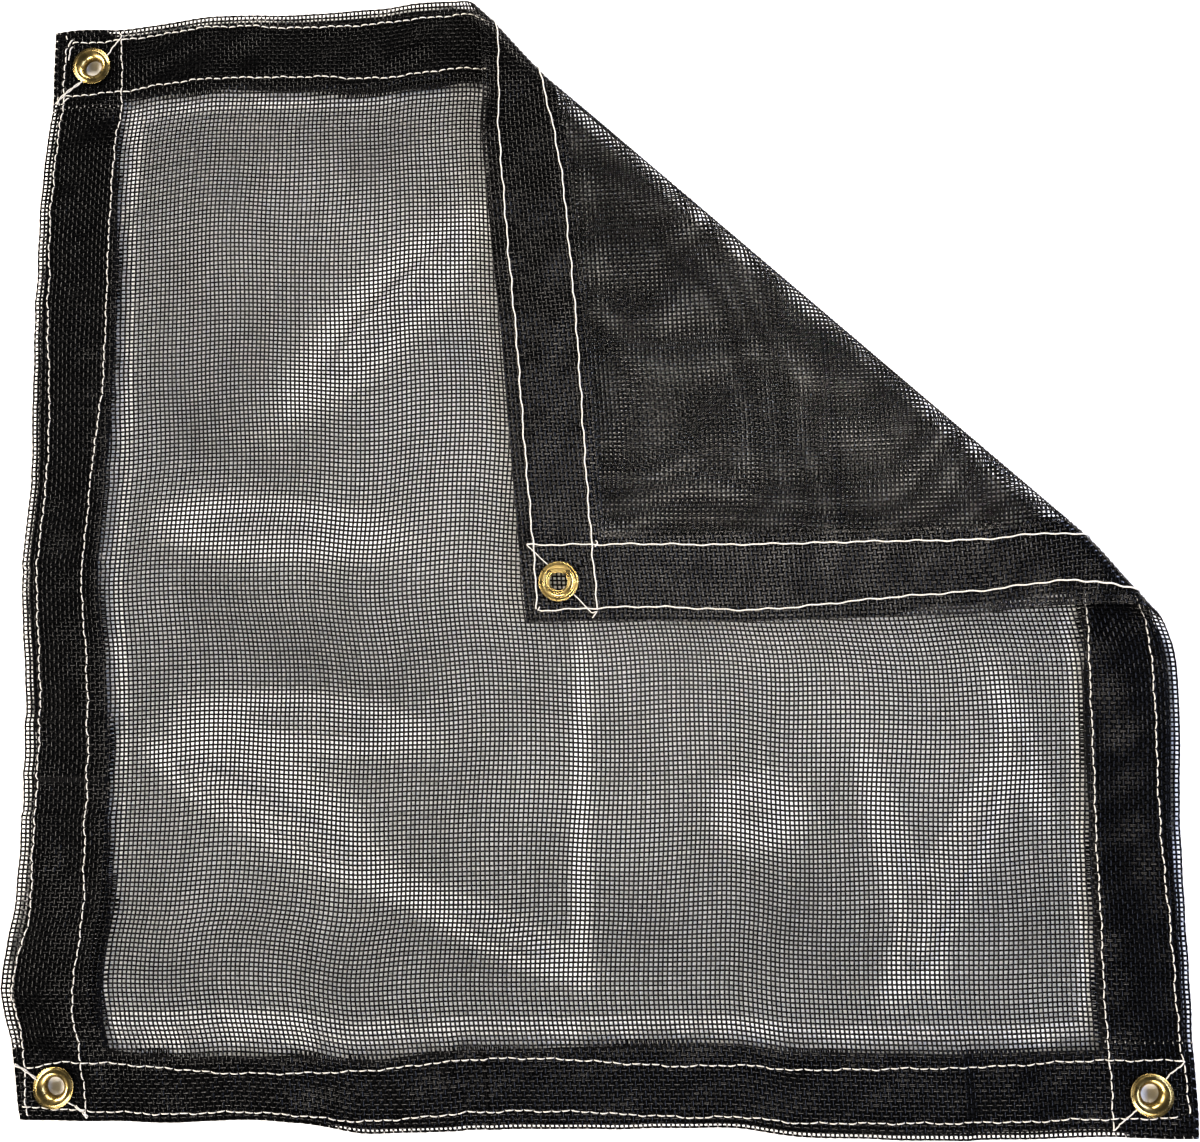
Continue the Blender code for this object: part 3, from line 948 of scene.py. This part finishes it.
# Slanting seams, turns and loose ends at each corner: insets from the two edges that meet there
cornerThreads = {
    "topLeft": (
        {"path": ((30.5, 17.6), (32.4, 16.2), (35.3, 11.9), (39.0, 8.0), (40.9, 5.0), (38.4, 1.9))},
        {"path": ((19.5, 30.2), (14.0, 34.2), (9.1, 37.7), (4.6, 41.6), (2.7, 44.7)), "strands": 2},
        {"path": ((11.5, 9.7), (10.0, 11.8), (9.1, 18.2))},
        {"path": ((7.3, 2.9), (8.3, 5.6))},
        {"path": ((2.9, 39.9), (3.4, 42.6), (4.4, 45.3))},
        {"path": ((9.7, 40.9), (7.0, 43.4), (5.4, 44.9))},
    ),
    "bottomLeft": (
        {"path": ((1.2, 28.9), (5.4, 26.5), (8.3, 24.2), (12.5, 20.9)), "strands": 2},
        {"path": ((26.0, 10.4), (29.6, 8.3), (32.7, 6.0), (36.9, 2.2))},
        {"path": ((31.0, 8.0), (34.4, 5.6), (37.4, 2.9))},
    ),
    "bottomRight": (
        {"path": ((43.2, 3.4), (38.3, 8.1), (33.5, 11.8), (30.0, 14.6))},
        {"path": ((16.6, 28.0), (12.5, 32.5), (8.6, 35.3))},
        {"path": ((9.2, 38.2), (5.5, 38.4), (6.1, 37.3), (8.6, 35.3))},
    ),
    "topRight": (
        {"path": ((43.7, 8.2), (42.7, 4.5), (38.8, 8.3), (35.1, 11.4), (31.0, 15.2))},
        {"path": ((15.6, 26.2), (12.5, 29.1), (5.9, 34.2), (4.3, 35.5), (5.3, 38.5), (1.6, 35.5))},
        {"path": ((44.7, 41.5), (43.7, 42.8), (41.2, 40.9))},
        {"path": ((8.3, 8.2), (6.4, 6.9), (6.0, 9.1))},
    ),
}
twisted = {  # some are two strands, twisted together
    "step": 0.9,  # about the distance between two rings of a strand
    "turn": 1.7,  # millimetres to a radian of the twist
    "apart": 0.42,
    "lift": 0.3,
}


def cornerThread(corner, path, strand, strands):
    turns = np.array(path, float)
    reach = np.concatenate(([0], np.cumsum(np.hypot(*np.diff(turns, axis=0).T))))
    along = np.linspace(0, reach[-1], max(4, round(reach[-1] / twisted["step"])))[None]
    u, v = fromCorner(corner, [np.interp(along, reach, column) for column in turns.T])
    if strands == 1:
        share = 2 * (along / stitch["pitch"] % 1) - 1
        lift = -stitch["dive"] * share**6
    else:
        twist = along / twisted["turn"] + strand * math.pi
        acrossU, acrossV = sideways(u, v)
        u = u + twisted["apart"] * np.cos(twist) * acrossU
        v = v + twisted["apart"] * np.cos(twist) * acrossV
        lift = twisted["lift"] * (1 + np.sin(twist))
    height = np.full_like(u, stitch["backFlap"]) if corner == "topRight" else onFace(u, v) + lift
    everywhere = np.ones((1, u.shape[1] - 1), bool)
    return tubes(roundTube(u, v, height, np.full_like(u, stitch["radius"])), everywhere), (u, v)


def seams(name, sideName, seed):
    parts = []
    for row in ("outer", "inner"):
        first, last = hemRows[sideName][row + "Ends"]
        starts = np.arange(first, last - stitch["length"], stitch["pitch"])[:, None]
        station = starts + (1 + np.array(stitch["rings"])) * stitch["length"] / 2
        parts.append(faceStitches(*seamLine(sideName, row, station, seed)))
        station = np.arange(first, last, stitch["backStep"])[None]
        parts.append(backSeam(*seamLine(sideName, row, station, seed)))
        seed += 1.7
    return newPiece(name, parts, threadMaterial)


def cornerSeams(name):
    parts = []
    for corner, threads in cornerThreads.items():
        for thread in threads:
            strands = thread.get("strands", 1)
            for strand in range(strands):
                tube, middle = cornerThread(corner, thread["path"], strand, strands)
                parts.append(tube)
            if corner != "topRight" and len(thread["path"]) > 3:
                parts.append(backSeam(*middle))  # a seam shows on both faces, a loose end on one
    return newPiece(name, parts, threadMaterial)


seamPieces = [seams(f"seams_{name}", name, i * 1.1) for i, name in enumerate(sides)]
seamPieces.append(cornerSeams("seams_corners"))
print("seams sewn")


# Turned profiles of a grommet's two parts, radius and height in millimetres, outer side first
grommetProfiles = {
    "grommet": (
        (8.8, 3.9), (9.5, 3.6), (9.95, 3.2), (10.2, 3.05), (10.4, 3.2), (10.7, 3.35), (10.95, 3.15),
        (10.9, 2.75), (10.3, 2.65), (7.0, 2.65), (6.5, 2.2), (5.8, 1.4), (5.4, 0.6), (5.35, -0.7),
        (5.9, -0.95), (6.6, -0.95), (6.9, -1.1), (6.5, -1.35), (5.7, -1.4), (5.0, -1.15),
        (4.8, -0.7), (4.8, 0.3), (4.95, 1.2), (5.35, 2.0), (6.0, 2.8), (6.9, 3.45), (7.8, 3.8),
    ),
    "washer": (
        (10.5, -0.3), (10.95, -0.5), (10.9, -0.85), (10.5, -1.0), (10.1, -0.9), (9.5, -1.1),
        (8.7, -1.25), (8.0, -1.15), (7.6, -0.8), (7.2, -0.65), (5.7, -0.6), (5.7, -0.3),
    ),
}
grommetSteps = {"softened": 36, "plain": 64}


def turnedRing(kind, name):
    # The ring stands where the frame has it, face down on the folded corner
    low, high = (Vector(corner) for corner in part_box(f"{kind}_{name}"))
    centre = (low + high) / 2
    radius, height = np.array(grommetProfiles[kind]).T * mm
    isFaceDown = name == "flap"
    isSoftened = kind == "grommet" or isFaceDown
    steps = grommetSteps["softened" if isSoftened else "plain"]
    angle = np.arange(steps) * math.tau / steps * (-1 if isFaceDown else 1)
    points = np.empty((steps, len(radius), 3))
    points[:, :, 0] = centre.x + np.cos(angle[:, None]) * radius
    points[:, :, 1] = centre.y + np.sin(angle[:, None]) * radius
    points[:, :, 2] = high.z + height.min() - height if isFaceDown else low.z - height.min() + height
    number = np.arange(steps * len(radius)).reshape(steps, len(radius))
    after = np.roll(number, -1, axis=0)
    quads = np.stack((number, after, np.roll(after, -1, axis=1), np.roll(number, -1, axis=1)), axis=-1)
    noCaps = np.empty((0, 3), int)
    turned = [(points.reshape(-1, 3), quads.reshape(-1, 4), noCaps)]
    ring = newPiece(f"{kind}_{name}_brass", turned, brassMaterial)
    if isSoftened:
        soft = ring.modifiers.new("soften", "SUBSURF")
        soft.levels = soft.render_levels = 1
    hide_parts(f"{kind}_{name}")
    return ring


rings = [turnedRing(kind, name) for kind in grommetProfiles for name in grommets]
print("grommets turned")


room = {
    "floor": ("#f4f4f3", "#efefee"),
    "floorRoughness": 0.8,
    "floorSpecular": 0.2,
    "floorGrain": 25.0,  # mm
    "floorSize": 6.0,
    "floorDrop": 0.0002,
    "surround": 0.12,
    "stripSize": (2.2, 0.35),
}

# Long strips in line with the weave, low enough to give each float a thin glint
strips = {
    "left": {"place": (-1.99, 0.1, 0.93), "power": 112.0, "colour": "#fff6ec"},
    "front": {"place": (-0.1, -1.99, 0.93), "power": 98.0, "colour": "#fff6ec"},
    "back": {"place": (0.1, 1.94, 1.03), "power": 72.0, "colour": "#fff6ec"},
    "right": {"place": (1.94, -0.1, 1.03), "power": 56.0, "colour": "#d0dbff"},
}
overFold = {  # a spot straight above, which lifts the double mesh of the folded corner
    "place": (0.11, 0.08, 2.2),
    "power": 88.0,
    "colour": "#fff6ec",
    "spread": 15.0,  # degrees
    "radius": 0.15,
}


def paleBoard():
    # Painted board: matt, nearly white and even
    material, tree, shader = newMaterial("paintedBoard")
    place = addNode(tree, "ShaderNodeTexCoord").outputs["Object"]
    grain = addNode(tree, "ShaderNodeTexNoise", {}, {
        "Vector": place, "Scale": 1 / (room["floorGrain"] * mm),
    }).outputs["Fac"]
    colour = addNode(tree, "ShaderNodeMix", {"data_type": "RGBA"}, {
        "Factor": grain, 6: srgb(room["floor"][0]), 7: srgb(room["floor"][1]),
    })
    feed(tree, shader, {
        "Base Color": colour.outputs[2], "Roughness": room["floorRoughness"],
        "Specular IOR Level": room["floorSpecular"],
    })
    return material


def addLamp(name, kind, lamp):
    light = bpy.data.lights.new(name, kind)
    light.energy = lamp["power"]
    light.color = srgb(lamp["colour"])[:3]
    hung = addObject(name, light)
    hung.location = lamp["place"]
    return hung


half = room["floorSize"] / 2
floorMesh = bpy.data.meshes.new("floor")
floorCorners = [(-half, -half, 0), (half, -half, 0), (half, half, 0), (-half, half, 0)]
floorMesh.from_pydata(floorCorners, [], [(0, 1, 2, 3)])
floorMesh.materials.append(paleBoard())
floor = addObject("floor", floorMesh)
floor.location.z = -room["floorDrop"]
floor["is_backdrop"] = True

for name, lamp in strips.items():
    strip = addLamp(name, "AREA", lamp)
    strip.data.shape = "RECTANGLE"
    strip.data.size, strip.data.size_y = room["stripSize"]
    strip.rotation_euler = (-Vector(lamp["place"])).to_track_quat("-Z", "Y").to_euler()
spot = addLamp("overFold", "SPOT", overFold)
spot.data.spot_size = math.radians(overFold["spread"])
spot.data.spot_blend = 1.0
spot.data.shadow_soft_size = overFold["radius"]
world = bpy.data.worlds.new("studio")
world.use_nodes = True
world.node_tree.nodes["Background"].inputs["Color"].default_value = (1, 1, 1, 1)
world.node_tree.nodes["Background"].inputs["Strength"].default_value = room["surround"]
bpy.context.scene.world = world
bpy.context.scene.view_settings.view_transform = "Standard"
bpy.context.scene.view_settings.look = "Medium High Contrast"

view = {
    "from": (0.0279, -0.0736, 0.5977),
    "towards": (-0.03474, 0.09411, -0.99496),
    "lens": 33.0,
    "sensor": 36.0,
    "nearest": 0.01,
}
camera = addObject("camera", bpy.data.cameras.new("camera"))
camera.data.lens = view["lens"]
camera.data.sensor_width = view["sensor"]
camera.data.clip_start = view["nearest"]
forward = Vector(view["towards"]).normalized()
upward = (Vector((0, 1, 0)) - forward * forward.y).normalized()
turned = Matrix((forward.cross(upward), upward, -forward)).transposed()
camera.matrix_world = Matrix.Translation(view["from"]) @ turned.to_4x4()
bpy.context.scene.camera = camera
print("floor, light and camera ready")

total = sum(sum(len(p.vertices) - 2 for p in piece.data.polygons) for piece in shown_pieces())
print("triangles:", total)
